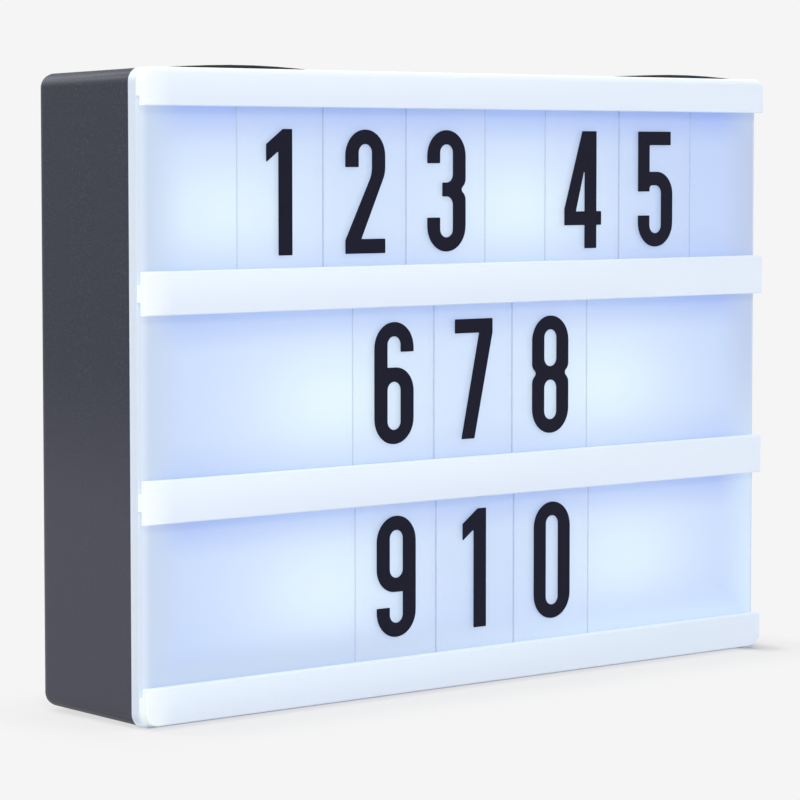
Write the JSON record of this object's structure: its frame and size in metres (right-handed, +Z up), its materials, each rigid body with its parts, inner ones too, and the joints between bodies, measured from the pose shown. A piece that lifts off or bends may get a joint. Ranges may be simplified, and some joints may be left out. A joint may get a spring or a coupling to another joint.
{
  "type": "cinema light box",
  "caption": "Flat rectangular light box with a glowing opal front, horizontal rails that hold sliding character cards, and a tapered dark rear case with a battery bay.",
  "frame": {"origin": "centre of the base, on the surface that the feet stand on", "axes": "+Z up, +X along the face to the right seen from the front, +Y to the back"},
  "size_m": [0.3, 0.063, 0.2229],
  "materials": {
    "opal_panel": "satin opal, lit from behind",
    "opal_rail": "satin opal, lit from behind",
    "card_film": "clear glossy film",
    "case_plastic": "fine spark-eroded texture",
    "foot_rubber": "matt",
    "screw_steel": "zinc plated",
    "reflector_white": "matt white",
    "circuit_board": "white solder mask",
    "led_package": "phosphor dome",
    "resistor_ceramic": "glazed",
    "cell_can": "satin sleeve",
    "contact_steel": "nickel plated",
    "switch_plastic": "satin black",
    "knob_plastic": "ribbed black",
    "lead_jacket": "smooth jacket"
  },
  "bodies": {
    "root": {"front_panel": "opal_panel", "top_rail": "opal_rail", "upper_middle_rail": "opal_rail", "lower_middle_rail": "opal_rail", "bottom_rail": "opal_rail", "rear_case": "case_plastic", "left_foot": "foot_rubber", "right_foot": "foot_rubber", "case_screws": "screw_steel", "led_screws": "screw_steel", "switch_screws": "screw_steel", "reflector_sheet": "reflector_white", "lower_led_strip": "circuit_board", "middle_led_strip": "circuit_board", "upper_led_strip": "circuit_board", "leds": "led_package", "led_resistors": "resistor_ceramic", "batteries": "cell_can", "battery_contacts": "contact_steel", "battery_springs": "contact_steel", "switch_body": "switch_plastic", "power_socket": "switch_plastic", "jumper_leads": "lead_jacket", "battery_leads": "lead_jacket", "supply_leads": "lead_jacket"},
    "battery_door": {"battery_door": "case_plastic"},
    "switch_knob": {"switch_knob": "knob_plastic"},
    "upper_card_1": {"upper_card_1": "card_film"},
    "upper_card_2": {"upper_card_2": "card_film"},
    "upper_card_3": {"upper_card_3": "card_film"},
    "upper_card_4": {"upper_card_4": "card_film"},
    "upper_card_5": {"upper_card_5": "card_film"},
    "middle_card_1": {"middle_card_1": "card_film"},
    "middle_card_2": {"middle_card_2": "card_film"},
    "middle_card_3": {"middle_card_3": "card_film"},
    "lower_card_1": {"lower_card_1": "card_film"},
    "lower_card_2": {"lower_card_2": "card_film"},
    "lower_card_3": {"lower_card_3": "card_film"}
  },
  "joints": [
    {"name": "battery_door_tilt", "type": "hinge", "parent": "root", "child": "battery_door", "pos_m": [0, 0.0315, 0.0515], "axis": [-1, 0, 0], "range_deg": [0, 75]},
    {"name": "switch_slide", "type": "slide", "parent": "root", "child": "switch_knob", "axis": [1, 0, 0], "range_m": [-0.004, 0]},
    {"name": "upper_card_1_slide", "type": "slide", "parent": "root", "child": "upper_card_1", "axis": [1, 0, 0], "range_m": [-0.0608, 0]},
    {"name": "upper_card_2_slide", "type": "slide", "parent": "root", "child": "upper_card_2", "axis": [1, 0, 0], "range_m": [-0.0608, 0]},
    {"name": "upper_card_3_slide", "type": "slide", "parent": "root", "child": "upper_card_3", "axis": [1, 0, 0], "range_m": [0, 0.0147]},
    {"name": "upper_card_4_slide", "type": "slide", "parent": "root", "child": "upper_card_4", "axis": [1, 0, 0], "range_m": [-0.0147, 0]},
    {"name": "upper_card_5_slide", "type": "slide", "parent": "root", "child": "upper_card_5", "axis": [1, 0, 0], "range_m": [0, 0.0563]},
    {"name": "middle_card_1_slide", "type": "slide", "parent": "root", "child": "middle_card_1", "axis": [1, 0, 0], "range_m": [-0.1124, 0]},
    {"name": "middle_card_2_slide", "type": "slide", "parent": "root", "child": "middle_card_2", "axis": [1, 0, 0], "range_m": [-0.1124, 0]},
    {"name": "middle_card_3_slide", "type": "slide", "parent": "root", "child": "middle_card_3", "axis": [1, 0, 0], "range_m": [0, 0.111]},
    {"name": "lower_card_1_slide", "type": "slide", "parent": "root", "child": "lower_card_1", "axis": [1, 0, 0], "range_m": [-0.1134, 0]},
    {"name": "lower_card_2_slide", "type": "slide", "parent": "root", "child": "lower_card_2", "axis": [1, 0, 0], "range_m": [-0.1134, 0]},
    {"name": "lower_card_3_slide", "type": "slide", "parent": "root", "child": "lower_card_3", "axis": [1, 0, 0], "range_m": [0, 0.11]}
  ],
  "couplings": [
    {"joint": "upper_card_2_slide", "follows": "upper_card_1_slide", "ratio": 1},
    {"joint": "middle_card_2_slide", "follows": "middle_card_1_slide", "ratio": 1},
    {"joint": "lower_card_2_slide", "follows": "lower_card_1_slide", "ratio": 1}
  ]
}
